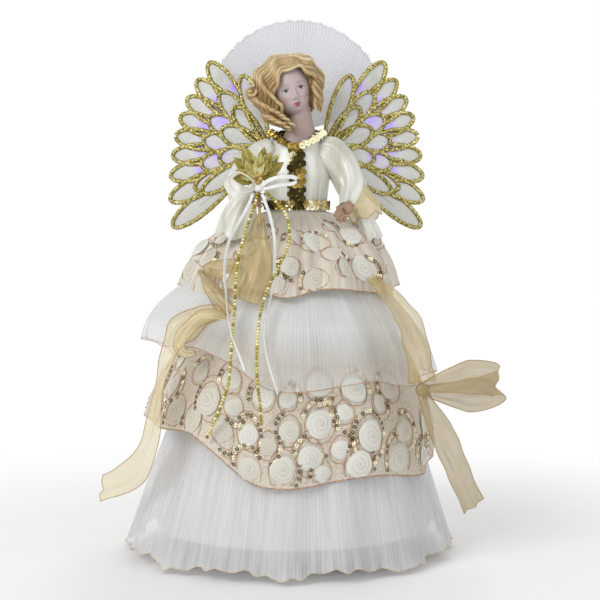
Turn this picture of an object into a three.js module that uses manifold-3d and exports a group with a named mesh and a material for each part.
// Angel tree topper: a gowned figure over a hollow cone, with folding wings and a battery lamp.
import * as THREE from "three";
import { mergeVertices } from "three/addons/utils/BufferGeometryUtils.js";
import Module from "manifold-3d";

// Driving dimensions in millimetres. Z is up and the figure faces -Y.
const SEAT_GAP = 0.3;
const CLOTH = 0.9;
const ROUND_SIDES = 26;
const SMALL_SIDES = 10;
const CORD_SIDES = 8;
const WIRE_SIDES = 6;
const BALL_SIDES = 12;
const BALL_SMALL_SIDES = 8;
const BALL_RINGS_SHARE = 0.6;

// Cone that goes over the tree's leader
const CONE_HEIGHT = 250;
const CONE_BASE_RADIUS = 70;
const CONE_TOP_RADIUS = 14;
const CONE_WALL = 1.2;

// Routes on the figure are listed with their heights from the cone's top
function fromConeTop(route) {
  return route.map(([x, y, z]) => [x, y, z + CONE_HEIGHT]);
}

// Hollow torso on the cone's top, oval in plan
const TORSO_X = 2;
const TORSO_HEIGHT = 54;
const TORSO_WALL = 2.5;
const TORSO_DEPTH_RATIO = 0.76;
const WAIST_RADIUS = 20;
const CHEST_RADIUS = 24;
const SHOULDER_RADIUS = 17;
const CHEST_SHARE = 0.62;
const BODICE_HEIGHT = TORSO_HEIGHT - 3;
const TORSO_LEVELS = 5;
const TORSO_SIDES = 16;

// Head, neck and hair
const NECK_RADIUS = 6.5;
const NECK_LENGTH = 24;
const NECK_PLUG = 7;
const NECK_Y = -3;
const YOKE_RADII = [17, 12.5, 8];
const HEAD_TILT = 14;
const SKULL_RADII = [15, 17, 21];
const SKULL_RISE = 23;
const JAW_RADII = [10.5, 11, 11];
const JAW_OFFSET = [0, -4.5, -9.5];
const NOSE_RADII = [1.5, 2, 2.2];
const NOSE_OFFSET = [0, -16.6, -4];
const HAIR_DEPTH = 4;
const HAIR_OFFSET = [0, 3, 1];
const FACE_RADII = [12, 14, 17];
const FACE_OFFSET = [1, -17, -3];
const HAIR_LOCKS = [
  [-17, 0, 9, 12, 12, 12],
  [-21, 1, -4, 11, 11, 12],
  [-33, 2, -5, 7.5, 7, 8.5],
  [-18, -3, -17, 8, 8, 9],
  [-12, -9, -26, 5.5, 5, 7],
  [15, 0, 10, 11, 12, 11],
  [19, 0, -2, 9, 11, 11],
  [18, -1, -13, 7.5, 9, 9],
  [0, 9, -10, 17, 10, 16],
];

// Trims of cup sequins on tape
const TRIM_THICKNESS = 1.8;
const WAIST_TRIM_HEIGHT = 7;
const WAIST_TRIM_CLEAR = 1;
const FRONT_TRIM_WIDTH = 12;
const FRONT_TRIM_COLUMNS = [-1, -0.5, 0, 0.5, 1];
const FRONT_TRIM_LEVELS = 6;
const NECK_TRIM_RADIUS = 1.8;
const NECK_TRIM_RISE = 5;
const NECK_TRIM_SIDES = 6;
const NECK_TRIM_STEPS = 18;

// Arms, sleeves and hands
const WIRE_RADIUS = 1.2;
const WIRE_STEP = 9;
const SLEEVE_SIDES = 10;
const SLEEVE_STEPS = 6;
const SLEEVE_WALL = 1.2;
const SLEEVE_FOLD = 0.07;
const SLEEVE_FOLDS = 5;
const ARM_LEFT = fromConeTop([
  [14, 1, 47], [26, 1, 47], [42, 0, 36], [50, -8, 20], [43, -22, 10], [38, -28, 6],
]);
const ARM_RIGHT = fromConeTop([
  [-10, 1, 47], [-22, 1, 47], [-40, -6, 37], [-48, -26, 22], [-36, -50, 15], [-28, -60, 14],
]);
const SLEEVE_LEFT_PATH = fromConeTop([
  [21, 1, 50], [34, 1, 44], [47, -2, 30], [52, -8, 14],
]);
const SLEEVE_LEFT_RADII = [9.5, 11.5, 11.5, 12.5];
const SLEEVE_RIGHT_PATH = fromConeTop([
  [-17, 1, 50], [-31, -1, 44], [-45, -14, 29], [-46, -34, 16], [-40, -48, 12],
]);
const SLEEVE_RIGHT_RADII = [9.5, 11.5, 11.5, 11, 13];
const SLEEVE_RIGHT_DROOP = 0.75;
const CUFF_DROP = 28;
const CUFF_CLEAR = 0.9;
const CUFF_LEAN = 6;
const CUFF_FLARE = 5;
const CUFF_RISE = 4;
const CUFF_WAVE = 0.4;
const CUFF_WAVES = 8;
const CUFF_LEVELS = [0, 0.35, 0.7, 1];
const CUFF_ARC = 180;
const CUFF_STEPS = 14;
const CUFF_FACING = 80;
const PALM_RADII = [4.2, 4.2, 5.5];
const FINGER_RADIUS = 1.3;
const FINGER_LENGTH = 5;
const FINGER_PITCH = 2.4;
const FINGERS = 3;
const PALM_REACH = 0.4;
const FINGER_ROOT = 0.6;
const FINGER_BENDS = [0.7, 0.8];
const THUMB_RISE = 0.7;
const FINGERS_LEFT = [-0.4, -0.2, -0.9];
const FINGERS_RIGHT = [0.9, 0.4, 0];

// Skirt: lining and four tiers, each hung from a seam and falling to a hem
const SKIRT_LEAN = -4;
const SKIRT_ROWS = 4;
const LINING_HEM = 20;
const HEM_CLEAR = 3.2;
const LINING = { top: CONE_HEIGHT - 0.5, hem: LINING_HEM, hemRadius: 104, bendRadius: 80, bendShare: 0.72 };
const PEPLUM = {
  top: CONE_HEIGHT + 6, hem: CONE_HEIGHT - 55, hemRadius: 80.5, bendRadius: 70, bendShare: 0.79,
  folds: 12, fold: 2.4, wave: 3,
};
const UPPER_TIER = {
  top: CONE_HEIGHT - 22, hem: CONE_HEIGHT - 111, hemRadius: 110, bendRadius: 103, bendShare: 0.44,
  folds: 14, fold: 3, wave: 2.5,
};
const ROSETTE_TIER = {
  top: CONE_HEIGHT - 90, hem: CONE_HEIGHT - 182, hemRadius: 107.5, bendRadius: 108, bendShare: 0.78,
  folds: 12, fold: 2.6, wave: 3,
};
const HEM_TIER = {
  top: CONE_HEIGHT - 122, hem: HEM_CLEAR, hemRadius: 121.5, bendRadius: 98.4, bendShare: 0.615,
  folds: 16, fold: 3, wave: 2,
};
const SAMPLES_PER_FOLD = 4;
const LINING_ROWS = 5;
const LINING_SIDES = 28;

// Back bracket with the wing hinges
const PLATE_WIDTH = 22;
const PLATE_HEIGHT = 30;
const PLATE_THICKNESS = 2.6;
const PIVOT_Z = CONE_HEIGHT + 53;
const PIVOT_OUT = 14;
const PIN_RADIUS = 1.5;
const PIN_LENGTH = 24;
const KNUCKLE_RADIUS = 3.4;
const KNUCKLE_LENGTH = 6;
const KNUCKLE_SPACING = 16;
const SCREW_RADIUS = 1.3;
const SCREW_LENGTH = 8;
const SCREW_HEAD_RADIUS = 2.6;
const SCREW_HEAD_HEIGHT = 1.6;
const SCREW_DROP = 10;
const SCREW_OUT = 7;

// Wings: two rows of feathers on a wire frame
const WING_SWEEP = 12;
const HUB_OUT = 7;
const FEATHER_SIDES = 8;
const FEATHER_ROWS = [
  { from: 55, to: -37, count: 9, root: 28, width: 15.5, thickness: 0.9 },
  { from: 70, to: -31, count: 6, root: -1, width: 17, thickness: 1.7 },
];
const ROW_REACH = [[82, 75.5, 97], [60, 46, 65]];
const FRAME_RADIUS = 0.8;
const FRAME_TOP_ANGLE = 55;
const FRAME_LOW_ANGLE = -37;
const FRAME_REACH = 70;
const FRAME_SPLIT = 1.6;
const FRAME_STEP = 14;
const FIBRE_RADIUS = 0.5;
const FIBRE_COLLAR = 1.8;
const FIBRE_ANGLES = [36, 22, 9, -4, -17];
const FIBRE_REACH = 50;

// Halo fan behind the head
const HALO_CENTRE_Z = PIVOT_Z + 15;
const HALO_SET_BACK = 22.3;
const HALO_HEIGHT_RADIUS = 88;
const HALO_SIDE_RADIUS = 74;
const HALO_HALF_ANGLE = 51;
const HALO_INNER_RADIUS = 13;
const HALO_PLEATS = 27;
const HALO_PLEAT_DEPTH = 1.6;
const HALO_PLEAT_ROOT = 0.3;
const HALO_STEM_RADIUS = 1.1;
const HALO_STEM_REACH = 60;
const HALO_STEM_STEP = 6;
const HALO_STEM_BEND = [0.5, 0.4];

// Bouquet, bow and hanging strings
const STEM_RADIUS = 1.5;
const STEM_STEP = 20;
const [STEM_FOOT, STEM_TOP] = fromConeTop([[-24, -65, -4], [-25, -65, 34]]);
const LEAF_SPREAD = [[-150, 13, 17], [-105, 18, 18], [-60, 12, 20], [-20, 15, 17], [25, 17, 19],
  [65, 12, 19], [105, 17, 18], [150, 15, 18]];
const LEAF_THICKNESS = 1.2;
const LEAF_TURN = 22;
const LEAF_HEEL = 0.15;
const LEAF_BELLY = 0.35;
const LEAF_SEGMENTS = 3;
const BUD_RADIUS = 5.5;
const BUD_DEPTH = 3.85;
const KNOT_RADII = [6, 3.4, 3.6];
const KNOT_RISE = 22;
const BOW_WIDTH = 4;
const BOW_THICKNESS = 0.7;
const BOW_ACROSS = [0, 1, 0];
const BOW_LEFT = [[-1, 0, 1], [-9, -2, 9], [-21, -1, 11], [-25, 0, 6], [-16, -2, 0], [-1, 0, -1]];
const BOW_RIGHT = [[1, 0, 1], [12, -2, 7], [23, -1, 8], [27, 0, 4], [16, -2, -0.5], [1, 0, -1]];
const BOW_STEPS = 9;
const RIBBON_WIDTH = 3;
const RIBBON_THICKNESS = 0.6;
const RIBBON_ACROSS = [1, 0, 0];
const BEAD_RADIUS = 1.1;
const RIBBON_LEFT_ROUTE = fromConeTop([
  [-28.7, -70.5, 18.6], [-31, -72.5, 12], [-35, -76, 4], [-40, -77, -5], [-44, -78, -12],
  [-46.5, -79, -20], [-48, -81, -30], [-48, -85, -41], [-47, -89, -51], [-46, -93, -61],
  [-44.5, -98, -71], [-42.5, -103, -80], [-39.5, -108, -87], [-36, -114, -95], [-33, -118, -103],
]);
const RIBBON_RIGHT_ROUTE = fromConeTop([
  [-22.3, -70.5, 18.1], [-20, -72.5, 12], [-17, -76, 4], [-15, -77, -4], [-13.5, -78, -12],
  [-13, -80, -20], [-13, -82, -30], [-13.5, -85, -40], [-15, -88, -50], [-17, -91, -60],
  [-19, -97, -70], [-20, -104, -80], [-19, -110, -89], [-17, -115, -98], [-13.5, -118, -109],
  [-10.5, -116, -119],
]);
const BEAD_LEFT_ROUTE = fromConeTop([
  [-25.5, -70.5, 17.9], [-27, -72.5, 11.5], [-30, -76, 3], [-33, -77, -6], [-36, -78, -16],
  [-38.5, -80, -26], [-40, -84, -38], [-40.5, -88, -50], [-41, -90, -60], [-41.5, -93, -69],
  [-42, -97, -77], [-42.5, -104, -87], [-43, -109, -97], [-43.5, -111, -105], [-45, -110, -114],
  [-48, -106, -123], [-52, -103, -133], [-56, -101, -142], [-60, -99, -151],
]);
const BEAD_RIGHT_ROUTE = fromConeTop([
  [-19.4, -70.5, 19.2], [-16, -71.5, 15.8], [-12, -73, 12], [-7, -76, 6], [-4, -77, 0], [-3, -79, -7],
  [-3, -82, -15], [-5.5, -86, -23], [-9.5, -89, -31], [-14, -91, -40], [-18, -92, -49],
  [-21.5, -94, -59], [-23.5, -98, -69], [-24.5, -103, -78], [-25, -109, -88], [-25, -114, -98],
  [-24.5, -117, -108], [-24, -117, -116], [-23, -114, -124], [-22.5, -112, -132], [-22, -111, -140],
]);
const CORD_STEP = 6.2;

// Sashes of wired organza ribbon
const SASH_WIDTH = 24;
const SASH_THICKNESS = 0.7;
const SASH_STEP = 9;
const SASH_LEFT_ROUTE = fromConeTop([
  [-45.7, -79.1, -69.5], [-56, -75.5, -66.5], [-68, -73, -70], [-83, -80, -82], [-92, -80, -102],
  [-97, -77, -128], [-100, -74, -150], [-105, -67, -170], [-113, -58, -185], [-127, -50, -196],
  [-144.5, -43, -203],
]);
const SASH_RIGHT_ROUTE = fromConeTop([
  [57.2, -49.6, -42], [69, -58, -55], [82, -71, -72], [87, -82, -89], [89, -89, -103],
  [90, -90, -113.5],
]);
const SASH_TAIL_ROUTE = fromConeTop([
  [90.5, -90, -124.6], [91.5, -89.5, -132], [98, -85, -144], [109, -75, -160], [118, -67, -178],
  [127, -60, -194], [134, -55, -206],
]);
const SASH_BOW_ROUTE = fromConeTop([
  [92, -88, -117], [108, -84, -110], [128, -74, -105], [141, -64, -110], [142, -62, -122],
  [126, -71, -127], [107, -82, -124], [92, -88, -121],
]);
const SASH_BOW_WIDTH = 17;
const SASH_LEFT_ACROSS = [0.3, 0.45, 0.85];
const SASH_LEFT_ACROSS_END = [-0.66, 0.75, 0.2];
const SASH_RIGHT_ACROSS = [0.64, 0.77, 0];
const SASH_BOW_ACROSS = [0.35, 0.9, 0];
const SASH_FRONT_ACROSS = [1, 0, 0];
const [SASH_KNOT_CENTRE] = fromConeTop([[90, -90, -119]]);
const SASH_KNOT_RADII = [5, 4, 5];
const SASH_FRONT_ROUTE = fromConeTop([
  [-24, -59.3, 2], [-25, -63.8, -6], [-26, -69.4, -15], [-27, -75, -26], [-30, -80, -37],
  [-34, -83, -47], [-37, -84.5, -56],
]);

// Battery box on the cone's back, with lamp, lead and switch
const CELL_RADIUS = 5.2;
const CELL_LENGTH = 44;
const CELL_TIP_RADIUS = 1.9;
const CELL_TIP_LENGTH = 1;
const CELL_CLEAR = 0.4;
const CELLS = 3;
const BOX_WALL = 1.5;
const BOX_BOTTOM = 36;
const CONTACT_THICKNESS = 0.5;
const CONTACT_BUMP_RADIUS = 1.8;
const CONTACT_BUMP_LENGTH = 2.4;
const COVER_THICKNESS = 1.6;
const COVER_LIP = 2.4;
const BRACKET_WIDTH = 24;
const BRACKET_MARGIN = 6;
const BRACKET_NECK = 1.5;
const SWITCH_LENGTH = 9;
const SWITCH_DEPTH = 5;
const SWITCH_HEIGHT = 3;
const SWITCH_TRAVEL = 4;
const KNOB_LENGTH = 3;
const KNOB_DEPTH = 2;
const KNOB_HEIGHT = 3.2;
const LEAD_RADIUS = 1;
const LEAD_HOLE_RISE = 19;
const LEAD_STEP = 6;
const LEAD_BEND = 6;
const LEAD_BEND_SHARE = 0.4;
const LEAD_RISE_SHARES = [0.25, 0.5, 0.75, 0.9];
const LEAD_TIP = 3;
const GROMMET_LIP = 1.4;
const GROMMET_LIP_THICKNESS = 1;
const GROMMET_WALL = 1;
const LAMP_PLUG_HEIGHT = 19;
const LAMP_PLUG_BOTTOM = CONE_HEIGHT - LAMP_PLUG_HEIGHT - 4;
const LED_RADIUS = 2.5;
const LED_FLANGE = 3;
const LED_FLANGE_HEIGHT = 1;
const LED_LENGTH = 8.6;
const LED_CROWN = 0.7;
const LAMP_SIDES = 16;
const FERRULE_RADIUS = 3.4;
const FERRULE_LENGTH = 9;
const FERRULE_PROUD = 2;
const BUNDLE_RADIUS = 2;
const BUNDLE_STEP = 6;
const BUNDLE_RISE = 18;
const BUNDLE_CURVE = 5;
const BUNDLE_EXIT_Z = PIVOT_Z - 11;

const wasm = await Module();
wasm.setup();

// Shape helpers

function outward(geometry) {
  geometry.deleteAttribute("normal");
  geometry.deleteAttribute("uv");
  const merged = mergeVertices(geometry, 1e-4);
  const index = merged.index.array;
  const point = merged.attributes.position;
  const corners = [new THREE.Vector3(), new THREE.Vector3(), new THREE.Vector3()];
  let volume = 0;
  for (let i = 0; i < index.length; i += 3) {
    corners.forEach((corner, k) => corner.fromBufferAttribute(point, index[i + k]));
    volume += corners[0].dot(corners[1].clone().cross(corners[2]));
  }
  if (volume < 0) {
    for (let i = 0; i < index.length; i += 3) {
      [index[i], index[i + 1]] = [index[i + 1], index[i]];
    }
  }
  merged.computeVertexNormals();
  return merged;
}

// Solid through a row of rings with the same number of points; a loop joins the last ring to the first.
// The second half of the quads is split the other way, so that the two faces of a thin sheet match.
function ringSolid(rings, loop) {
  const sides = rings[0].length;
  const positions = rings.flat().flatMap((p) => p.toArray());
  const index = [];
  const spans = loop ? rings.length : rings.length - 1;
  for (let i = 0; i < spans; i += 1) {
    const next = (i + 1) % rings.length;
    for (let j = 0; j < sides; j += 1) {
      const k = (j + 1) % sides;
      const [a, b, c, d] = [i * sides + j, i * sides + k, next * sides + k, next * sides + j];
      const turned = loop ? 2 * i >= rings.length : 2 * j >= sides;
      index.push(...(turned ? [a, b, d, b, c, d] : [a, b, c, a, c, d]));
    }
  }
  if (!loop) {
    [0, rings.length - 1].forEach((end, which) => {
      const centre = new THREE.Vector3();
      rings[end].forEach((p) => centre.addScaledVector(p, 1 / sides));
      const hub = positions.length / 3;
      positions.push(...centre.toArray());
      for (let j = 0; j < sides; j += 1) {
        const [a, b] = [end * sides + j, end * sides + ((j + 1) % sides)];
        index.push(...(which ? [hub, a, b] : [hub, b, a]));
      }
    });
  }
  const geometry = new THREE.BufferGeometry();
  geometry.setAttribute("position", new THREE.Float32BufferAttribute(positions, 3));
  geometry.setIndex(index);
  return outward(geometry);
}

function lathe(profile, sides = ROUND_SIDES) {
  const points = profile.map(([r, z]) => new THREE.Vector2(r, z));
  return outward(new THREE.LatheGeometry(points, sides).rotateX(Math.PI / 2));
}

function ring(inner, outer, bottom, top, sides = ROUND_SIDES) {
  return lathe([[inner, bottom], [outer, bottom], [outer, top], [inner, top], [inner, bottom]], sides);
}

function rod(radius, bottom, top, sides = SMALL_SIDES) {
  return lathe([[0, bottom], [radius, bottom], [radius, top], [0, top]], sides);
}

function block(width, depth, height, centre) {
  return outward(new THREE.BoxGeometry(width, depth, height).translate(...centre));
}

function ball(radii, centre, sides = BALL_SMALL_SIDES) {
  const rings = Math.round(sides * BALL_RINGS_SHARE);
  return outward(new THREE.SphereGeometry(1, sides, rings).rotateX(Math.PI / 2)
    .scale(...radii).translate(...centre));
}

function curveThrough(route) {
  return new THREE.CatmullRomCurve3(route.map((p) => new THREE.Vector3(...p)));
}

function bar(route, radius, step, sides = CORD_SIDES) {
  const curve = curveThrough(route);
  const circle = new THREE.Shape();
  circle.absarc(0, 0, radius, 0, 2 * Math.PI);
  const steps = Math.max(2, Math.round(curve.getLength() / step));
  return outward(new THREE.ExtrudeGeometry(circle, {
    steps, curveSegments: sides / 2, bevelEnabled: false, extrudePath: curve,
  }));
}

// Flat ribbon along a route, its width turning from one given direction to another.
function ribbon(route, width, thickness, step, across, acrossEnd = across) {
  const curve = curveThrough(route);
  const steps = Math.max(3, Math.round(curve.getLength() / step));
  const rings = [];
  for (let i = 0; i <= steps; i += 1) {
    const centre = curve.getPointAt(i / steps);
    const along = curve.getTangentAt(i / steps);
    const side = new THREE.Vector3(...across).lerp(new THREE.Vector3(...acrossEnd), i / steps);
    side.addScaledVector(along, -along.dot(side)).normalize();
    const face = along.clone().cross(side);
    rings.push([[-1, -1], [1, -1], [1, 1], [-1, 1]].map(([u, v]) => centre.clone()
      .addScaledVector(side, (u * width) / 2)
      .addScaledVector(face, (v * thickness) / 2)));
  }
  return ringSolid(rings, false);
}

function solid(geometry) {
  return new wasm.Manifold(new wasm.Mesh({
    numProp: 3,
    vertProperties: new Float32Array(geometry.attributes.position.array),
    triVerts: new Uint32Array(geometry.index.array),
  }));
}

function surface(shape) {
  const mesh = shape.getMesh();
  const geometry = new THREE.BufferGeometry();
  geometry.setAttribute("position", new THREE.Float32BufferAttribute(mesh.vertProperties, 3));
  geometry.setIndex(new THREE.Uint32BufferAttribute(mesh.triVerts, 1));
  return outward(geometry);
}

function joined(geometries) {
  return surface(geometries.map(solid).reduce((sum, part) => sum.add(part)));
}

function cut(geometry, tools) {
  return surface(tools.map(solid).reduce((rest, tool) => rest.subtract(tool), solid(geometry)));
}

function mix(a, b, t) {
  return a + (b - a) * t;
}

function smooth(t) {
  return t * t * (3 - 2 * t);
}

// Assembly

const topper = new THREE.Group();
topper.name = "angel_tree_topper";

const FINISHES = {
  cone_card: [0xe9e2d2, 0.8, 0],
  form_plastic: [0xe6dccb, 0.6, 0],
  skin: [0xf0cdb6, 0.45, 0],
  hair: [0xc79a5a, 0.55, 0],
  satin: [0xf2ead9, 0.35, 0],
  chiffon: [0xf4f1ee, 0.75, 0],
  tulle: [0xcfb795, 0.8, 0],
  sequin_gold: [0xb8924a, 0.3, 0.8],
  organza_gold: [0xb99b5c, 0.5, 0.2],
  leaf_gold: [0xc9a45a, 0.3, 0.9],
  bead_gold: [0xb88d45, 0.25, 0.9],
  wing_cloth: [0xefe9ee, 0.6, 0],
  steel: [0xb9bcc0, 0.3, 1],
  fibre: [0xd8cdf4, 0.15, 0],
  black_plastic: [0x22242a, 0.5, 0],
  nickel: [0xc4c2bb, 0.25, 1],
  cell_wrap: [0x3f6f4a, 0.4, 0.1],
  rubber: [0x1b1b1d, 0.8, 0],
  led_lens: [0xcabdf0, 0.1, 0],
};

function add(name, geometry, finish, parent = topper) {
  const [color, roughness, metalness] = FINISHES[finish];
  const material = new THREE.MeshStandardMaterial({ color, roughness, metalness });
  material.name = finish;
  const mesh = new THREE.Mesh(geometry, material);
  mesh.name = name;
  parent.add(mesh);
}

// Battery box sizes from its cells; the hole for the lead is above the box

const cavityWidth = CELLS * (2 * CELL_RADIUS + CELL_CLEAR) + CELL_CLEAR;
const cavityDepth = 2 * (CELL_RADIUS + CELL_CLEAR);
const contactRoom = CONTACT_THICKNESS + SEAT_GAP;
const cavityHeight = CELL_LENGTH + CELL_TIP_LENGTH + CONTACT_BUMP_LENGTH + 2 * contactRoom + 3 * SEAT_GAP;
const boxWidth = cavityWidth + 2 * BOX_WALL;
const boxHeight = cavityHeight + 2 * BOX_WALL;
const boxTop = BOX_BOTTOM + boxHeight;
const leadHoleZ = boxTop + LEAD_HOLE_RISE;

// Cone with a hole for the lead

function coneOuter(z) {
  return mix(CONE_BASE_RADIUS, CONE_TOP_RADIUS, z / CONE_HEIGHT);
}

function coneInner(z) {
  return coneOuter(z) - CONE_WALL;
}

const GROMMET_RADIUS = LEAD_RADIUS + SEAT_GAP + GROMMET_WALL;
const leadHole = rod(GROMMET_RADIUS + SEAT_GAP, 0, CONE_BASE_RADIUS).rotateX(-Math.PI / 2)
  .translate(0, 0, leadHoleZ);
const coneShell = lathe([
  [CONE_BASE_RADIUS, 0], [CONE_TOP_RADIUS, CONE_HEIGHT],
  [coneInner(CONE_HEIGHT), CONE_HEIGHT], [coneInner(0), 0], [CONE_BASE_RADIUS, 0],
]);
add("cone", cut(coneShell, [leadHole]), "cone_card");

// Torso, bodice and what passes through their walls

const torsoBottom = CONE_HEIGHT + SEAT_GAP;
const torsoTop = torsoBottom + TORSO_HEIGHT;

const torsoKnots = Array.from({ length: TORSO_LEVELS + 1 }, (_, i) => {
  const share = i / TORSO_LEVELS;
  const radius = share < CHEST_SHARE
    ? mix(WAIST_RADIUS, CHEST_RADIUS, smooth(share / CHEST_SHARE))
    : mix(CHEST_RADIUS, SHOULDER_RADIUS, smooth((share - CHEST_SHARE) / (1 - CHEST_SHARE)));
  return [radius, torsoBottom + share * TORSO_HEIGHT];
});

function torsoRadius(z) {
  const share = THREE.MathUtils.clamp((z - torsoBottom) / TORSO_HEIGHT, 0, 1) * TORSO_LEVELS;
  const level = Math.min(TORSO_LEVELS - 1, Math.floor(share));
  return mix(torsoKnots[level][0], torsoKnots[level + 1][0], share - level);
}

function torsoProfile(bottom, top, growth) {
  const between = torsoKnots.map((knot) => knot[1]).filter((z) => z > bottom && z < top);
  return [bottom, ...between, top].map((z) => [torsoRadius(z) + growth, z]);
}

function oval(geometry) {
  return outward(geometry.scale(1, TORSO_DEPTH_RATIO, 1).translate(TORSO_X, 0, 0));
}

const bodiceGrowth = SEAT_GAP / TORSO_DEPTH_RATIO + CLOTH;
const bodiceBottom = torsoBottom + SEAT_GAP;
const bodiceTop = bodiceBottom + BODICE_HEIGHT;

function bodiceHalfWidth(z) {
  return torsoRadius(z) + bodiceGrowth;
}

function bodiceFront(z, x) {
  const half = bodiceHalfWidth(z);
  return half * TORSO_DEPTH_RATIO * Math.sqrt(Math.max(0, 1 - (x / half) ** 2));
}

const plateFront = CHEST_RADIUS * TORSO_DEPTH_RATIO + bodiceGrowth + SEAT_GAP;
const plateMiddle = PIVOT_Z - KNUCKLE_SPACING / 2;
const screwZ = plateMiddle - SCREW_DROP;

function alongY(geometry, x, y, z) {
  return outward(geometry.rotateX(-Math.PI / 2).translate(TORSO_X + x, y, z));
}

const wireHoles = [ARM_LEFT, ARM_RIGHT].map((route) => {
  const end = new THREE.Vector3(...route.at(-1));
  const beyond = end.clone().sub(new THREE.Vector3(...route.at(-2))).setLength(SEAT_GAP).add(end);
  return bar([...route.slice(0, -1), beyond.toArray()], WIRE_RADIUS + SEAT_GAP, WIRE_STEP);
});
const screwHoles = [-SCREW_OUT, SCREW_OUT].map((x) => alongY(
  rod(SCREW_RADIUS + SEAT_GAP, 0, SCREW_LENGTH + SEAT_GAP), x,
  plateFront - SCREW_LENGTH + PLATE_THICKNESS, screwZ,
));
const bundleBore = rod(BUNDLE_RADIUS + SEAT_GAP, 0, CHEST_RADIUS + PLATE_THICKNESS);
const bundleHole = alongY(bundleBore, 0, 0, BUNDLE_EXIT_Z);
const neckHole = outward(rod(NECK_RADIUS + SEAT_GAP, torsoTop - NECK_PLUG - SEAT_GAP, torsoTop + NECK_PLUG)
  .translate(TORSO_X, NECK_Y, 0));

const torsoInside = torsoProfile(torsoBottom, torsoTop - TORSO_WALL, -TORSO_WALL);
const torsoShell = oval(lathe([
  [0, torsoTop], ...torsoProfile(torsoBottom, torsoTop, 0).reverse(),
  ...torsoInside, [0, torsoTop - TORSO_WALL],
], TORSO_SIDES));
add("torso", cut(torsoShell, [neckHole, bundleHole, ...wireHoles, ...screwHoles]), "form_plastic");

const bodiceShell = oval(lathe([
  ...torsoProfile(bodiceBottom, bodiceTop, bodiceGrowth),
  ...torsoProfile(bodiceBottom, bodiceTop, bodiceGrowth - CLOTH).reverse(),
  [torsoRadius(bodiceBottom) + bodiceGrowth, bodiceBottom],
], TORSO_SIDES));
add("bodice", cut(bodiceShell, [bundleHole, ...wireHoles, ...screwHoles]), "satin");

// Head with neck and yoke, tilted on the neck; the hair is cut to it

const neckTop = torsoTop + NECK_LENGTH;

function onHead(geometry) {
  return outward(geometry.rotateY(-THREE.MathUtils.degToRad(HEAD_TILT)).translate(TORSO_X, NECK_Y, neckTop));
}

function headBall(radii, offset, growth, sides) {
  const grown = radii.map((r) => r + growth);
  return onHead(ball(grown, [offset[0], offset[1], offset[2] + SKULL_RISE], sides));
}

function headPieces(growth) {
  return [
    headBall(SKULL_RADII, [0, 0, 0], growth, BALL_SIDES),
    headBall(JAW_RADII, JAW_OFFSET, growth, BALL_SIDES),
    headBall(NOSE_RADII, NOSE_OFFSET, growth, BALL_SMALL_SIDES),
    outward(rod(NECK_RADIUS + growth, torsoTop - NECK_PLUG + SEAT_GAP, neckTop + NECK_RADIUS)
      .translate(TORSO_X, NECK_Y, 0)),
  ];
}

const yokeCentre = [TORSO_X, NECK_Y / 2, torsoTop + SEAT_GAP];
const yokeHalf = cut(ball(YOKE_RADII, yokeCentre, BALL_SIDES), [
  block(4 * YOKE_RADII[0], 4 * YOKE_RADII[0], YOKE_RADII[0], [TORSO_X, 0, yokeCentre[2] - YOKE_RADII[0] / 2]),
]);
add("head", joined([...headPieces(0), yokeHalf]), "skin");

const hairCap = headBall(SKULL_RADII, HAIR_OFFSET, HAIR_DEPTH, BALL_SIDES);
const hairLocks = HAIR_LOCKS.map(([x, y, z, ...radii]) => outward(
  ball(radii, [TORSO_X + x, NECK_Y + y, neckTop + SKULL_RISE + z]),
));
const faceOpening = headBall(FACE_RADII, FACE_OFFSET, 0, BALL_SIDES);
add("hair", cut(joined([hairCap, ...hairLocks]), [...headPieces(SEAT_GAP), faceOpening]), "hair");

// Sequin trims: a hoop at the neckline, a strip down the front and a hoop round the waist

function hoop(centreAt, radius, sides, steps) {
  const rings = [];
  for (let i = 0; i < steps; i += 1) {
    const angle = (2 * Math.PI * i) / steps;
    const { centre, out } = centreAt(angle);
    rings.push(Array.from({ length: sides }, (_, j) => {
      const a = (2 * Math.PI * j) / sides;
      return centre.clone().addScaledVector(out, radius * Math.cos(a))
        .add(new THREE.Vector3(0, 0, radius * Math.sin(a)));
    }));
  }
  return ringSolid(rings, true);
}

function neckTrim(growth) {
  const half = torsoRadius(bodiceTop) + bodiceGrowth;
  return hoop((angle) => {
    const out = new THREE.Vector3(Math.sin(angle), -Math.cos(angle), 0);
    const rise = NECK_TRIM_RADIUS + SEAT_GAP + (NECK_TRIM_RISE * (1 - Math.cos(angle))) / 2;
    const reach = half + NECK_TRIM_RADIUS + SEAT_GAP;
    return {
      centre: new THREE.Vector3(
        TORSO_X + out.x * reach, out.y * (half * TORSO_DEPTH_RATIO + NECK_TRIM_RADIUS + SEAT_GAP),
        bodiceTop - NECK_TRIM_RADIUS + rise,
      ),
      out,
    };
  }, NECK_TRIM_RADIUS + growth, NECK_TRIM_SIDES, NECK_TRIM_STEPS);
}

const waistTrimBottom = PEPLUM.top + WAIST_TRIM_CLEAR;
const waistTrimTop = waistTrimBottom + WAIST_TRIM_HEIGHT;

function ovalBand(inner, thickness, bottom, top) {
  const rim = (growth, z) => Array.from({ length: ROUND_SIDES }, (_, i) => {
    const angle = (2 * Math.PI * i) / ROUND_SIDES;
    const half = inner + growth;
    return new THREE.Vector3(
      TORSO_X + half * Math.sin(angle), -(inner * TORSO_DEPTH_RATIO + growth) * Math.cos(angle), z,
    );
  });
  return ringSolid([rim(thickness, bottom), rim(thickness, top), rim(0, top), rim(0, bottom)], true);
}

const waistHalf = bodiceHalfWidth(waistTrimTop) + SEAT_GAP / TORSO_DEPTH_RATIO;
add("neckline_trim", neckTrim(0), "sequin_gold");
add("waist_trim", ovalBand(waistHalf, TRIM_THICKNESS, waistTrimBottom, waistTrimTop), "sequin_gold");

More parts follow.
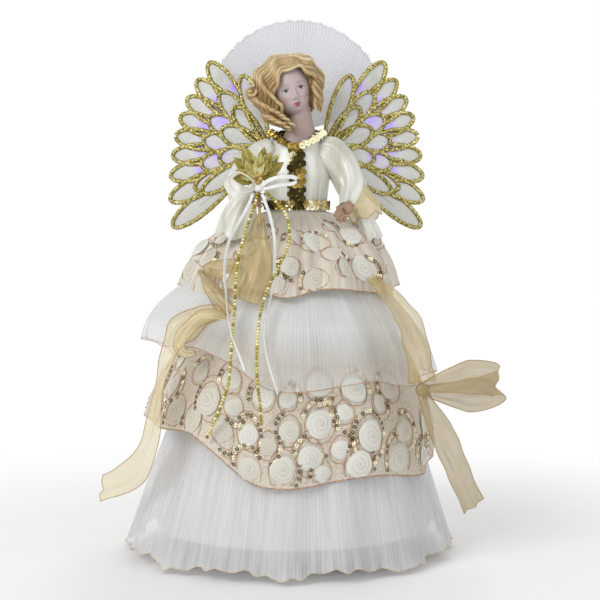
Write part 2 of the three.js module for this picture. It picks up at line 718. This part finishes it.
function frontStrip() {
  const bottom = waistTrimTop + SEAT_GAP;
  const top = bodiceTop - 2 * NECK_TRIM_RADIUS;
  const columns = FRONT_TRIM_COLUMNS.map((share) => (share * FRONT_TRIM_WIDTH) / 2);
  const rings = Array.from({ length: FRONT_TRIM_LEVELS + 1 }, (_, i) => {
    const z = mix(bottom, top, i / FRONT_TRIM_LEVELS);
    const face = (standoff) => columns.map((x) => new THREE.Vector3(
      TORSO_X + x, -(bodiceFront(z, x) + standoff), z,
    ));
    return [...face(2 * SEAT_GAP), ...face(2 * SEAT_GAP + TRIM_THICKNESS).reverse()];
  });
  return ringSolid(rings, false);
}

add("front_trim", frontStrip(), "sequin_gold");

// Skirt: each tier falls from its seam along a curve, with folds that deepen towards the hem

function fall(tier, topRadius) {
  return new THREE.QuadraticBezierCurve(
    new THREE.Vector2(topRadius, tier.top),
    new THREE.Vector2(tier.bendRadius, mix(tier.hem, tier.top, tier.bendShare)),
    new THREE.Vector2(tier.hemRadius, tier.hem),
  );
}

const liningFall = fall(LINING, coneOuter(LINING.top) + SEAT_GAP + CLOTH);
const liningCurve = Array.from({ length: LINING_ROWS + 1 }, (_, i) => liningFall.getPoint(i / LINING_ROWS));
add("lining", lathe([
  ...liningCurve.map((p) => [p.x, p.y]),
  ...liningCurve.map((p) => [p.x - CLOTH, p.y]).reverse(),
  [liningCurve[0].x, liningCurve[0].y],
], LINING_SIDES), "satin");

function skirtTier(tier, topRadius, topX, topDepthRatio) {
  const curve = fall(tier, topRadius);
  const count = tier.folds * SAMPLES_PER_FOLD;
  const row = (share, inset) => Array.from({ length: count }, (_, i) => {
    const angle = (2 * Math.PI * i) / count;
    const p = curve.getPoint(share);
    const fold = tier.fold * share * Math.cos(tier.folds * angle);
    const depth = mix(topDepthRatio, 1, smooth(Math.min(1, share * 2)));
    const wave = tier.wave * share ** 3 * 0.5 * (1 - Math.cos((tier.folds / 2) * angle));
    const radius = p.x + fold - inset;
    return new THREE.Vector3(
      mix(topX, SKIRT_LEAN, share) + radius * Math.sin(angle),
      -(p.x * depth + fold - inset) * Math.cos(angle),
      p.y + wave,
    );
  });
  const shares = Array.from({ length: SKIRT_ROWS + 1 }, (_, i) => i / SKIRT_ROWS);
  return ringSolid([
    ...shares.map((share) => row(share, 0)),
    ...shares.map((share) => row(share, CLOTH)).reverse(),
  ], true);
}

// Radius of a tier's seam, which lies on the lining at that height
function seamOn(z) {
  const below = liningCurve.findIndex((p) => p.y < z);
  const [upper, lower] = [liningCurve[below - 1], liningCurve[below]];
  return mix(upper.x, lower.x, (upper.y - z) / (upper.y - lower.y)) + SEAT_GAP + CLOTH;
}

const peplumTop = bodiceHalfWidth(PEPLUM.top) + SEAT_GAP / TORSO_DEPTH_RATIO + CLOTH;
add("peplum", skirtTier(PEPLUM, peplumTop, TORSO_X, TORSO_DEPTH_RATIO), "tulle");
add("upper_tier", skirtTier(UPPER_TIER, seamOn(UPPER_TIER.top), 0, 1), "chiffon");
add("rosette_tier", skirtTier(ROSETTE_TIER, seamOn(ROSETTE_TIER.top), 0, 1), "tulle");
add("hem_tier", skirtTier(HEM_TIER, seamOn(HEM_TIER.top), 0, 1), "chiffon");

// Arms: wires from the torso's wall to the hands, hollow sleeves and an organza cuff

function sleeve(path, radii, droop) {
  const curve = curveThrough(path);
  const radiusCurve = new THREE.SplineCurve(radii.map((r, i) => new THREE.Vector2(i, r)));
  const ringAt = (i, inset) => {
    const share = i / SLEEVE_STEPS;
    const centre = curve.getPoint(share);
    const along = curve.getTangent(share);
    const down = new THREE.Vector3(0, 0, -1).addScaledVector(along, along.z).normalize();
    const side = along.clone().cross(down);
    const base = radiusCurve.getPoint(share).y - inset;
    return Array.from({ length: SLEEVE_SIDES }, (_, j) => {
      const a = (2 * Math.PI * j) / SLEEVE_SIDES;
      const lower = Math.max(0, Math.cos(a));
      const radius = base * (1 + SLEEVE_FOLD * Math.cos(SLEEVE_FOLDS * a) + droop * share ** 3 * lower);
      return centre.clone().addScaledVector(down, radius * Math.cos(a))
        .addScaledVector(side, radius * Math.sin(a));
    });
  };
  const order = Array.from({ length: SLEEVE_STEPS + 1 }, (_, i) => i);
  return ringSolid([
    ...order.map((i) => ringAt(i, 0)),
    ...order.map((i) => ringAt(i, SLEEVE_WALL)).reverse(),
  ], true);
}

const bodiceGrown = oval(lathe([
  [0, bodiceBottom], ...torsoProfile(bodiceBottom, torsoTop, bodiceGrowth + SEAT_GAP / TORSO_DEPTH_RATIO),
  [0, torsoTop],
], TORSO_SIDES));
const yokeGrown = ball(YOKE_RADII.map((r) => r + SEAT_GAP), yokeCentre, BALL_SIDES);
const sleeveTools = [bodiceGrown, yokeGrown, neckTrim(SEAT_GAP)];

function largestPiece(geometry) {
  const pieces = solid(geometry).decompose();
  return surface(pieces.reduce((best, piece) => (piece.volume() > best.volume() ? piece : best)));
}

add("sleeve_left", largestPiece(cut(sleeve(SLEEVE_LEFT_PATH, SLEEVE_LEFT_RADII, 0), sleeveTools)), "satin");
add("sleeve_right", largestPiece(cut(
  sleeve(SLEEVE_RIGHT_PATH, SLEEVE_RIGHT_RADII, SLEEVE_RIGHT_DROOP), sleeveTools,
)), "satin");
add("arm_wire_left", bar(ARM_LEFT, WIRE_RADIUS, WIRE_STEP), "steel");
add("arm_wire_right", bar(ARM_RIGHT, WIRE_RADIUS, WIRE_STEP), "steel");

function cuff() {
  const [x, y, z] = SLEEVE_LEFT_PATH.at(-1);
  const top = SLEEVE_LEFT_RADII.at(-1) * (1 + SLEEVE_FOLD) + CUFF_CLEAR + CLOTH;
  const rings = Array.from({ length: CUFF_STEPS + 1 }, (_, i) => {
    const turn = CUFF_FACING + CUFF_ARC * (i / CUFF_STEPS - 0.5);
    const a = THREE.MathUtils.degToRad(turn);
    const face = (inset) => CUFF_LEVELS.map((drop) => {
      const radius = top + CUFF_FLARE * drop * (1 + CUFF_WAVE * Math.cos(CUFF_WAVES * a)) - inset;
      return new THREE.Vector3(
        x + CUFF_LEAN * drop + radius * Math.sin(a), y - radius * Math.cos(a),
        z + CUFF_RISE - CUFF_DROP * drop,
      );
    });
    return [...face(0), ...face(CLOTH).reverse()];
  });
  return ringSolid(rings, false);
}

add("cuff_left", cuff(), "organza_gold");

// Hands closed round the wire's end; the right one also holds the bouquet's stem

function hand(route, fingersTowards) {
  const end = new THREE.Vector3(...route.at(-1));
  const before = new THREE.Vector3(...route.at(-2));
  const along = end.clone().sub(before).normalize();
  const centre = end.clone().addScaledVector(along, PALM_RADII[2] * PALM_REACH);
  const across = new THREE.Vector3(0, 0, 1).addScaledVector(along, -along.z).normalize();
  const reach = new THREE.Vector3(...fingersTowards).normalize();
  const fingers = Array.from({ length: FINGERS }, (_, i) => {
    const root = centre.clone().addScaledVector(across, (i - (FINGERS - 1) / 2) * FINGER_PITCH)
      .addScaledVector(along, PALM_RADII[0] * FINGER_ROOT);
    const knuckle = root.clone().addScaledVector(along, FINGER_LENGTH * FINGER_BENDS[0]);
    const tip = knuckle.clone().addScaledVector(reach, FINGER_LENGTH * FINGER_BENDS[1]);
    return bar([root.toArray(), knuckle.toArray(), tip.toArray()], FINGER_RADIUS, FINGER_LENGTH, WIRE_SIDES);
  });
  const thumb = centre.clone().addScaledVector(across, PALM_RADII[0] * THUMB_RISE);
  const thumbTip = thumb.clone().addScaledVector(reach, FINGER_LENGTH).addScaledVector(across, FINGER_RADIUS);
  return [
    ball(PALM_RADII, centre.toArray()), ...fingers,
    bar([thumb.toArray(), thumbTip.toArray()], FINGER_RADIUS, FINGER_LENGTH, WIRE_SIDES),
  ];
}

const stemHole = bar([STEM_TOP, STEM_FOOT], STEM_RADIUS + SEAT_GAP, STEM_STEP);
add("hand_left", cut(joined(hand(ARM_LEFT, FINGERS_LEFT)), [wireHoles[0]]), "skin");
const handRight = cut(joined(hand(ARM_RIGHT, FINGERS_RIGHT)), [wireHoles[1], stemHole]);
add("hand_right", largestPiece(handRight), "skin");

// Gold leaf spray on its stem, white ribbon bow, tails and bead strings

const budCentre = [STEM_TOP[0], STEM_TOP[1], STEM_TOP[2] + BUD_RADIUS];

function leaf([turn, width, length]) {
  const outline = new THREE.Shape();
  outline.moveTo(0, -length * LEAF_HEEL);
  outline.quadraticCurveTo(width / 2, length * LEAF_BELLY, 0, length);
  outline.quadraticCurveTo(-width / 2, length * LEAF_BELLY, 0, -length * LEAF_HEEL);
  return outward(new THREE.ExtrudeGeometry(outline, {
    depth: LEAF_THICKNESS, steps: 1, curveSegments: LEAF_SEGMENTS, bevelEnabled: false,
  }).rotateX(Math.PI / 2).rotateX(-THREE.MathUtils.degToRad(LEAF_TURN))
    .rotateY(THREE.MathUtils.degToRad(turn)).translate(...budCentre));
}

add("bouquet", joined([
  bar([STEM_FOOT, STEM_TOP], STEM_RADIUS, STEM_STEP),
  ball([BUD_RADIUS, BUD_DEPTH, BUD_RADIUS], budCentre),
  ...LEAF_SPREAD.map(leaf),
]), "leaf_gold");

const knotZ = CONE_HEIGHT + KNOT_RISE;
const knotCentre = [
  mix(STEM_FOOT[0], STEM_TOP[0], (knotZ - STEM_FOOT[2]) / (STEM_TOP[2] - STEM_FOOT[2])),
  STEM_TOP[1] - STEM_RADIUS - SEAT_GAP - KNOT_RADII[1], knotZ,
];
const bowLoops = [BOW_LEFT, BOW_RIGHT].map((route) => {
  const placed = route.map((p) => p.map((value, axis) => value + knotCentre[axis]));
  const step = curveThrough(placed).getLength() / BOW_STEPS;
  return ribbon(placed, BOW_WIDTH, BOW_THICKNESS, step, BOW_ACROSS);
});
add("ribbon_bow", joined([ball(KNOT_RADII, knotCentre), ...bowLoops]), "satin");
[["left", RIBBON_LEFT_ROUTE], ["right", RIBBON_RIGHT_ROUTE]].forEach(([name, route]) => {
  const tail = ribbon(route, RIBBON_WIDTH, RIBBON_THICKNESS, CORD_STEP, RIBBON_ACROSS);
  add(`ribbon_tail_${name}`, tail, "satin");
});
add("bead_string_left", bar(BEAD_LEFT_ROUTE, BEAD_RADIUS, CORD_STEP), "bead_gold");
add("bead_string_right", bar(BEAD_RIGHT_ROUTE, BEAD_RADIUS, CORD_STEP), "bead_gold");

// Organza sashes

function sash(route, across, acrossEnd = across) {
  return ribbon(route, SASH_WIDTH, SASH_THICKNESS, SASH_STEP, across, acrossEnd);
}

add("sash_left", sash(SASH_LEFT_ROUTE, SASH_LEFT_ACROSS, SASH_LEFT_ACROSS_END), "organza_gold");
add("sash_right", sash(SASH_RIGHT_ROUTE, SASH_RIGHT_ACROSS), "organza_gold");
add("sash_right_tail", sash(SASH_TAIL_ROUTE, SASH_RIGHT_ACROSS), "organza_gold");
add("sash_right_bow", joined([
  ball(SASH_KNOT_RADII, SASH_KNOT_CENTRE),
  ribbon(SASH_BOW_ROUTE, SASH_BOW_WIDTH, SASH_THICKNESS, SASH_STEP, SASH_BOW_ACROSS),
]), "organza_gold");
add("sash_front", sash(SASH_FRONT_ROUTE, SASH_FRONT_ACROSS), "organza_gold");

// Back bracket: plate with four hinge knuckles and a socket for the halo's stem

const pivotY = plateFront + KNUCKLE_RADIUS;
const plateY = plateFront + PLATE_THICKNESS / 2;
const plateTop = plateMiddle + PLATE_HEIGHT / 2;
const socketRadius = HALO_STEM_RADIUS + SEAT_GAP + PLATE_THICKNESS / 2;
const stemFoot = [TORSO_X, plateFront + socketRadius, plateTop - PLATE_HEIGHT / 3];

function knuckles() {
  return [-1, 1].flatMap((side) => [-1, 1].map((level) => {
    const z = PIVOT_Z + (level * KNUCKLE_SPACING) / 2;
    return outward(rod(KNUCKLE_RADIUS, z - KNUCKLE_LENGTH / 2, z + KNUCKLE_LENGTH / 2)
      .translate(TORSO_X + side * PIVOT_OUT, pivotY, 0));
  }));
}

const pinBores = [-1, 1].map((side) => outward(
  rod(PIN_RADIUS + SEAT_GAP, PIVOT_Z - PIN_LENGTH, PIVOT_Z + PIN_LENGTH)
    .translate(TORSO_X + side * PIVOT_OUT, pivotY, 0),
));
const plate = block(PLATE_WIDTH, PLATE_THICKNESS, PLATE_HEIGHT, [TORSO_X, plateY, plateMiddle]);
const hingeArms = [-1, 1].map((level) => block(
  2 * PIVOT_OUT, PLATE_THICKNESS, KNUCKLE_LENGTH, [TORSO_X, plateY, PIVOT_Z + (level * KNUCKLE_SPACING) / 2],
));
const socket = outward(rod(socketRadius, stemFoot[2] - PLATE_THICKNESS, plateTop + PLATE_THICKNESS)
  .translate(stemFoot[0], stemFoot[1], 0));
const socketBore = outward(rod(HALO_STEM_RADIUS + SEAT_GAP, stemFoot[2] - SEAT_GAP, plateTop + PLATE_HEIGHT)
  .translate(stemFoot[0], stemFoot[1], 0));
const plateScrewHoles = [-SCREW_OUT, SCREW_OUT].map((x) => alongY(
  rod(SCREW_RADIUS + SEAT_GAP, 0, 3 * PLATE_THICKNESS), x, plateFront - PLATE_THICKNESS, screwZ,
));
add("back_bracket", cut(joined([plate, ...hingeArms, socket, ...knuckles()]),
  [...pinBores, socketBore, bundleHole, ...plateScrewHoles]), "black_plastic");
[["right", -SCREW_OUT], ["left", SCREW_OUT]].forEach(([name, x]) => {
  const back = plateFront + PLATE_THICKNESS + SEAT_GAP;
  add(`bracket_screw_${name}`, alongY(lathe([
    [0, -SCREW_LENGTH + SEAT_GAP], [SCREW_RADIUS, -SCREW_LENGTH + SEAT_GAP], [SCREW_RADIUS, 0],
    [SCREW_HEAD_RADIUS, 0], [SCREW_HEAD_RADIUS, SCREW_HEAD_HEIGHT], [0, SCREW_HEAD_HEIGHT],
  ], SMALL_SIDES), x, back, screwZ), "steel");
});

// Wings: feathers of cloth in two rows, with the frame wire and fibres behind

function rowReach(row, share) {
  const [top, middle, low] = ROW_REACH[row];
  const side = 2 * share - 1;
  return middle + (side < 0 ? top - middle : low - middle) * side ** 2;
}

function feather(angle, root, tip, width, thickness) {
  const outline = new THREE.Shape();
  outline.absellipse((root + tip) / 2, 0, (tip - root) / 2, width / 2, 0, 2 * Math.PI);
  return outward(new THREE.ExtrudeGeometry(outline, {
    depth: thickness, steps: 1, curveSegments: FEATHER_SIDES / 2, bevelEnabled: false,
  }).rotateZ(THREE.MathUtils.degToRad(angle)).rotateX(Math.PI / 2).translate(HUB_OUT, -SEAT_GAP, 0));
}

function wingPanel() {
  return joined(FEATHER_ROWS.flatMap((row, r) => Array.from({ length: row.count }, (_, i) => {
    const share = i / (row.count - 1);
    const angle = mix(row.from, row.to, share);
    return feather(angle, row.root, rowReach(r, share), row.width, row.thickness);
  })));
}

function behindWing(radius, angle, from, to) {
  const a = THREE.MathUtils.degToRad(angle);
  return [from, to].map((r) => [HUB_OUT + r * Math.cos(a), radius + SEAT_GAP, r * Math.sin(a)]);
}

function wingFrame() {
  const spokes = [[1, FRAME_TOP_ANGLE], [-1, FRAME_LOW_ANGLE]].map(([side, angle]) => bar([
    [0, 0, side * FRAME_SPLIT], [HUB_OUT, FRAME_RADIUS + SEAT_GAP, side * 2 * FRAME_SPLIT],
    ...behindWing(FRAME_RADIUS, angle, FRAME_REACH / 3, FRAME_REACH),
  ], FRAME_RADIUS, FRAME_STEP, WIRE_SIDES));
  return joined([rod(PIN_RADIUS, -PIN_LENGTH / 2, PIN_LENGTH / 2), ...spokes]);
}

function wingFibres() {
  const strands = FIBRE_ANGLES.map((angle) => bar(
    behindWing(FIBRE_RADIUS, angle, FIBRE_COLLAR / 2, FIBRE_REACH), FIBRE_RADIUS, FIBRE_REACH, WIRE_SIDES,
  ));
  const collar = rod(FIBRE_COLLAR, 0, 2 * FIBRE_RADIUS).rotateX(-Math.PI / 2).translate(HUB_OUT, SEAT_GAP, 0);
  return joined([outward(collar), ...strands]);
}

[["left", 1], ["right", -1]].forEach(([name, side]) => {
  const wing = new THREE.Group();
  wing.position.set(TORSO_X + side * PIVOT_OUT, pivotY, PIVOT_Z);
  wing.rotation.z = side * THREE.MathUtils.degToRad(WING_SWEEP);
  topper.add(wing);
  const turned = (geometry) => outward(geometry.scale(side, 1, 1));
  add(`wing_${name}_panel`, turned(wingPanel()), "wing_cloth", wing);
  add(`wing_${name}_frame`, turned(wingFrame()), "steel", wing);
  add(`wing_${name}_fibres`, turned(wingFibres()), "fibre", wing);
});

// Halo: a fan of pleats on a stem

const haloY = pivotY + HALO_SET_BACK;

function haloFan() {
  const lines = 2 * HALO_PLEATS;
  const rings = Array.from({ length: lines + 1 }, (_, i) => {
    const turn = THREE.MathUtils.degToRad(HALO_HALF_ANGLE) * ((2 * i) / lines - 1);
    const sway = (i % 2 ? 1 : -1) * HALO_PLEAT_DEPTH;
    const reach = mix(HALO_HEIGHT_RADIUS, HALO_SIDE_RADIUS, Math.sin(turn) ** 2);
    const point = (r, y) => new THREE.Vector3(
      TORSO_X + r * Math.sin(turn), y, HALO_CENTRE_Z + r * Math.cos(turn),
    );
    const near = haloY + sway * HALO_PLEAT_ROOT;
    const far = haloY + sway;
    return [
      point(HALO_INNER_RADIUS, near), point(reach, far),
      point(reach, far + CLOTH), point(HALO_INNER_RADIUS, near + CLOTH),
    ];
  });
  return ringSolid(rings, false);
}

const haloBack = haloY + HALO_PLEAT_DEPTH + CLOTH + SEAT_GAP + HALO_STEM_RADIUS;
const stemBend = plateTop + 2 * PLATE_THICKNESS;
const haloFoot = HALO_CENTRE_Z + HALO_INNER_RADIUS;
add("halo_fan", haloFan(), "chiffon");
add("halo_stem", bar([
  stemFoot, [...stemFoot.slice(0, 2), plateTop + PLATE_THICKNESS], [...stemFoot.slice(0, 2), stemBend],
  [TORSO_X, mix(stemFoot[1], haloBack, HALO_STEM_BEND[0]), mix(stemBend, haloFoot, HALO_STEM_BEND[1])],
  [TORSO_X, haloBack, haloFoot],
  [TORSO_X, haloBack, haloFoot + HALO_INNER_RADIUS], [TORSO_X, haloBack, HALO_CENTRE_Z + HALO_STEM_REACH],
], HALO_STEM_RADIUS, HALO_STEM_STEP, WIRE_SIDES), "steel");

// Battery box: tray with three cells, contacts, sliding cover and switch

const boxFront = coneOuter(BOX_BOTTOM - BRACKET_MARGIN) + BRACKET_NECK;
const cavityFront = boxFront + BOX_WALL;
const boxBack = cavityFront + cavityDepth;
const cavityBottom = BOX_BOTTOM + BOX_WALL;
const cellY = cavityFront + CELL_RADIUS + CELL_CLEAR;
const cellBottom = cavityBottom + contactRoom + CONTACT_BUMP_LENGTH + SEAT_GAP;

const tray = block(boxWidth, boxBack - boxFront, boxHeight,
  [0, (boxFront + boxBack) / 2, BOX_BOTTOM + boxHeight / 2]);
const cavity = block(cavityWidth, 2 * cavityDepth, cavityHeight,
  [0, cavityFront + cavityDepth, cavityBottom + cavityHeight / 2]);
const leadStart = [0, cellY, boxTop + SEAT_GAP];
add("battery_box", cut(tray, [cavity]), "black_plastic");

const coverBack = boxBack + SEAT_GAP;
const coverPanel = block(boxWidth + 2 * (COVER_THICKNESS + SEAT_GAP), COVER_THICKNESS, boxHeight,
  [0, coverBack + COVER_THICKNESS / 2, BOX_BOTTOM + boxHeight / 2]);
const coverLips = [-1, 1].map((side) => block(COVER_THICKNESS, COVER_LIP + COVER_THICKNESS, boxHeight, [
  side * (boxWidth / 2 + SEAT_GAP + COVER_THICKNESS / 2),
  coverBack + (COVER_THICKNESS - COVER_LIP) / 2, BOX_BOTTOM + boxHeight / 2,
]));
add("battery_cover", joined([coverPanel, ...coverLips]), "black_plastic");

for (let i = 0; i < CELLS; i += 1) {
  const x = (i - (CELLS - 1) / 2) * (2 * CELL_RADIUS + CELL_CLEAR);
  const flip = i % 2 === 1;
  const cell = lathe([
    [0, 0], [CELL_RADIUS, 0], [CELL_RADIUS, CELL_LENGTH], [CELL_TIP_RADIUS, CELL_LENGTH],
    [CELL_TIP_RADIUS, CELL_LENGTH + CELL_TIP_LENGTH], [0, CELL_LENGTH + CELL_TIP_LENGTH],
  ], SMALL_SIDES);
  if (flip) {
    cell.rotateX(Math.PI).translate(0, 0, CELL_LENGTH + CELL_TIP_LENGTH);
  }
  add(`battery_cell_${i + 1}`, outward(cell.translate(x, cellY, cellBottom)), "cell_wrap");
}

function contactPlate(bottom, bumps) {
  const strip = block(cavityWidth - 2 * SEAT_GAP, cavityDepth - 2 * SEAT_GAP, CONTACT_THICKNESS,
    [0, cavityFront + cavityDepth / 2, bottom + CONTACT_THICKNESS / 2]);
  const rise = bumps ? [-1, 0, 1].map((place) => outward(rod(
    CONTACT_BUMP_RADIUS, bottom, bottom + CONTACT_THICKNESS + CONTACT_BUMP_LENGTH,
  ).translate(place * (2 * CELL_RADIUS + CELL_CLEAR), cellY, 0))) : [];
  return joined([strip, ...rise]);
}

add("contact_lower", contactPlate(cavityBottom + SEAT_GAP, true), "nickel");
add("contact_upper", contactPlate(boxTop - BOX_WALL - contactRoom, false), "nickel");

const coneGrown = lathe([
  [0, 0], [CONE_BASE_RADIUS + SEAT_GAP, 0], [CONE_TOP_RADIUS + SEAT_GAP, CONE_HEIGHT], [0, CONE_HEIGHT],
]);
const bracketHeight = boxHeight - 2 * BRACKET_MARGIN;
add("battery_bracket", cut(block(BRACKET_WIDTH, boxFront, bracketHeight,
  [0, boxFront / 2 - SEAT_GAP, BOX_BOTTOM + boxHeight / 2]), [coneGrown]), "form_plastic");

const switchTop = BOX_BOTTOM - SEAT_GAP;
const switchSlot = block(KNOB_LENGTH + SWITCH_TRAVEL + 2 * SEAT_GAP, KNOB_DEPTH + 2 * SEAT_GAP, SWITCH_HEIGHT,
  [0, cellY, switchTop - SWITCH_HEIGHT]);
add("switch_body", cut(block(SWITCH_LENGTH + SWITCH_TRAVEL, SWITCH_DEPTH, SWITCH_HEIGHT,
  [0, cellY, switchTop - SWITCH_HEIGHT / 2]), [switchSlot]), "nickel");
add("switch_knob", block(KNOB_LENGTH, KNOB_DEPTH, KNOB_HEIGHT,
  [-SWITCH_TRAVEL / 2, cellY, switchTop - SWITCH_HEIGHT / 2 - SEAT_GAP - KNOB_HEIGHT / 2]), "black_plastic");

// Lead from the box through the cone's grommet and up to the lamp

const leadInset = LEAD_RADIUS + 2 * SEAT_GAP + GROMMET_LIP_THICKNESS;
const leadHoleOut = coneOuter(leadHoleZ) + GROMMET_LIP_THICKNESS + LEAD_RADIUS;
const ledBottom = LAMP_PLUG_BOTTOM - LED_FLANGE_HEIGHT - SEAT_GAP;
const leadRise = LEAD_RISE_SHARES.map((share) => {
  const z = mix(leadHoleZ, ledBottom, share);
  return [0, coneInner(z) - leadInset, z];
});
add("lead", bar([
  leadStart, [0, cellY, mix(boxTop, leadHoleZ, LEAD_BEND_SHARE)], [0, leadHoleOut + LEAD_BEND, leadHoleZ],
  [0, leadHoleOut, leadHoleZ], [0, coneInner(leadHoleZ) - leadInset, leadHoleZ],
  ...leadRise, [0, 0, ledBottom - LEAD_TIP], [0, 0, ledBottom - SEAT_GAP],
], LEAD_RADIUS, LEAD_STEP, WIRE_SIDES), "rubber");

const grommetOuter = coneOuter(leadHoleZ - GROMMET_RADIUS - GROMMET_LIP) + SEAT_GAP;
const grommetBack = grommetOuter + GROMMET_LIP_THICKNESS;
const grommetInner = coneInner(leadHoleZ + GROMMET_RADIUS) - SEAT_GAP;
add("lead_grommet", outward(lathe([
  [LEAD_RADIUS + SEAT_GAP, grommetInner], [GROMMET_RADIUS, grommetInner], [GROMMET_RADIUS, grommetOuter],
  [GROMMET_RADIUS + GROMMET_LIP, grommetOuter], [GROMMET_RADIUS + GROMMET_LIP, grommetBack],
  [LEAD_RADIUS + SEAT_GAP, grommetBack], [LEAD_RADIUS + SEAT_GAP, grommetInner],
], SMALL_SIDES).rotateX(-Math.PI / 2).translate(0, 0, leadHoleZ)), "rubber");

// Lamp plug in the cone's top, LED, ferrule and the fibre bundle to the back bracket

const plugTop = LAMP_PLUG_BOTTOM + LAMP_PLUG_HEIGHT;
const ferruleBottom = plugTop - FERRULE_LENGTH + 2 * SEAT_GAP;
const ledBore = LED_RADIUS + SEAT_GAP;
const ferruleBore = FERRULE_RADIUS + SEAT_GAP;
add("lamp_plug", lathe([
  [ledBore, LAMP_PLUG_BOTTOM], [coneInner(LAMP_PLUG_BOTTOM) - SEAT_GAP, LAMP_PLUG_BOTTOM],
  [coneInner(plugTop) - SEAT_GAP, plugTop], [ferruleBore, plugTop],
  [ferruleBore, ferruleBottom - SEAT_GAP], [ledBore, ferruleBottom - SEAT_GAP], [ledBore, LAMP_PLUG_BOTTOM],
], LAMP_SIDES), "form_plastic");
add("led", lathe([
  [0, ledBottom], [LED_FLANGE, ledBottom], [LED_FLANGE, ledBottom + LED_FLANGE_HEIGHT],
  [LED_RADIUS, ledBottom + LED_FLANGE_HEIGHT], [LED_RADIUS, ledBottom + LED_LENGTH - LED_RADIUS],
  [LED_RADIUS * LED_CROWN, ledBottom + LED_LENGTH - LED_RADIUS * (1 - LED_CROWN)],
  [0, ledBottom + LED_LENGTH],
], SMALL_SIDES), "led_lens");
const ferruleTop = plugTop + FERRULE_PROUD;
add("fibre_ferrule", ring(
  BUNDLE_RADIUS + SEAT_GAP, FERRULE_RADIUS, ferruleBottom, ferruleTop, LAMP_SIDES,
), "nickel");
const bundleBend = plateFront / 4;
add("fibre_bundle", bar([
  [0, 0, ferruleBottom], [0, 0, ferruleTop + FERRULE_PROUD], [TORSO_X, 0, BUNDLE_EXIT_Z - BUNDLE_RISE],
  [TORSO_X, bundleBend, BUNDLE_EXIT_Z - BUNDLE_CURVE], [TORSO_X, 2 * bundleBend, BUNDLE_EXIT_Z],
  [TORSO_X, 3 * bundleBend, BUNDLE_EXIT_Z], [TORSO_X, plateFront + PLATE_THICKNESS, BUNDLE_EXIT_Z],
], BUNDLE_RADIUS, BUNDLE_STEP), "fibre");

export default topper;
